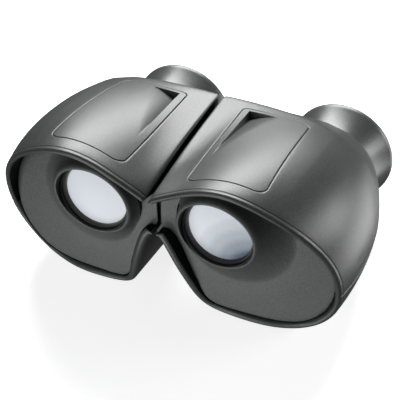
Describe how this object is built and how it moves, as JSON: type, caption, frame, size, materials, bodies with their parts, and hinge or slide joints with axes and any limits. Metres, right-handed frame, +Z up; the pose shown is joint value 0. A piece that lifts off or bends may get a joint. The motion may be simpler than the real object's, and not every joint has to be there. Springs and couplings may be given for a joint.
{
  "type": "binoculars",
  "caption": "Compact wide-angle prism binoculars with a visor-like body, folding centre hinge and turning eyecups.",
  "frame": {"origin": "middle of the underside of the box of the opened binoculars", "axes": "+X to the user's left, +Y from the objectives to the eyecups, +Z up"},
  "size_m": [0.1252, 0.0954, 0.0636],
  "materials": {
    "shell": "satin, fine grain",
    "pad": "satin, fine grain",
    "panel": "matte, fine grain",
    "eyecup": "satin, turned",
    "black_metal": "matte black",
    "frame_plastic": "matte black",
    "hinge_metal": "satin black",
    "washer": "natural nylon",
    "bright_steel": "plain",
    "objective_glass": "coated",
    "prism_glass": "polished",
    "eye_glass": "coated"
  },
  "bodies": {
    "right_half": {"right_upper_cover": "shell", "right_lower_cover": "shell", "right_top_pad": "pad", "right_front_panel": "panel", "right_objective_cell": "black_metal", "right_objective_crown": "objective_glass", "right_objective_flint": "objective_glass", "right_objective_retainer": "black_metal", "right_lens_plate": "frame_plastic", "right_prism_plate": "frame_plastic", "right_standoffs": "bright_steel", "right_front_prism": "prism_glass", "right_rear_prism": "prism_glass", "right_front_clip": "bright_steel", "right_rear_clip": "bright_steel", "right_frame_screws": "bright_steel", "right_hinge_bracket": "hinge_metal", "right_cover_screws": "bright_steel", "right_eye_socket": "black_metal", "right_guide_pin": "bright_steel", "hinge_pin": "bright_steel", "hinge_washers": "washer", "hinge_caps": "hinge_metal"},
    "left_half": {"left_upper_cover": "shell", "left_lower_cover": "shell", "left_top_pad": "pad", "left_front_panel": "panel", "left_objective_cell": "black_metal", "left_objective_crown": "objective_glass", "left_objective_flint": "objective_glass", "left_objective_retainer": "black_metal", "left_lens_plate": "frame_plastic", "left_prism_plate": "frame_plastic", "left_standoffs": "bright_steel", "left_front_prism": "prism_glass", "left_rear_prism": "prism_glass", "left_front_clip": "bright_steel", "left_rear_clip": "bright_steel", "left_frame_screws": "bright_steel", "left_hinge_bracket": "hinge_metal", "left_cover_screws": "bright_steel", "left_eye_socket": "black_metal", "left_guide_pin": "bright_steel"},
    "right_eyecup": {"right_eyecup": "eyecup", "right_cup_retainer": "black_metal"},
    "left_eyecup": {"left_eyecup": "eyecup", "left_cup_retainer": "black_metal"},
    "right_eye_barrel": {"right_eye_barrel": "black_metal", "right_field_lens": "eye_glass", "right_eye_lens": "eye_glass", "right_lens_spacer": "black_metal", "right_eye_retainer": "black_metal"},
    "left_eye_barrel": {"left_eye_barrel": "black_metal", "left_field_lens": "eye_glass", "left_eye_lens": "eye_glass", "left_lens_spacer": "black_metal", "left_eye_retainer": "black_metal"}
  },
  "joints": [
    {"name": "centre_hinge", "type": "hinge", "parent": "right_half", "child": "left_half", "pos_m": [0, 0, 0.03297], "axis": [0, 1, 0], "range_deg": [-3.5, 34]},
    {"name": "right_focus_turn", "type": "hinge", "parent": "right_half", "child": "right_eyecup", "pos_m": [-0.032, 0.03873, 0.02417], "axis": [0, 1, 0], "range_deg": [-150, 150]},
    {"name": "right_focus_travel", "type": "slide", "parent": "right_half", "child": "right_eye_barrel", "axis": [0, 1, 0], "range_m": [-0.00142, 0.00142]},
    {"name": "left_focus_turn", "type": "hinge", "parent": "left_half", "child": "left_eyecup", "pos_m": [0.032, 0.03873, 0.02417], "axis": [0, 1, 0], "range_deg": [-150, 150]},
    {"name": "left_focus_travel", "type": "slide", "parent": "left_half", "child": "left_eye_barrel", "axis": [0, 1, 0], "range_m": [-0.00142, 0.00142]}
  ],
  "couplings": [
    {"joint": "right_focus_travel", "follows": "right_focus_turn", "m_per_rad": 0.00053476},
    {"joint": "left_focus_travel", "follows": "left_focus_turn", "m_per_rad": 0.00053476}
  ]
}
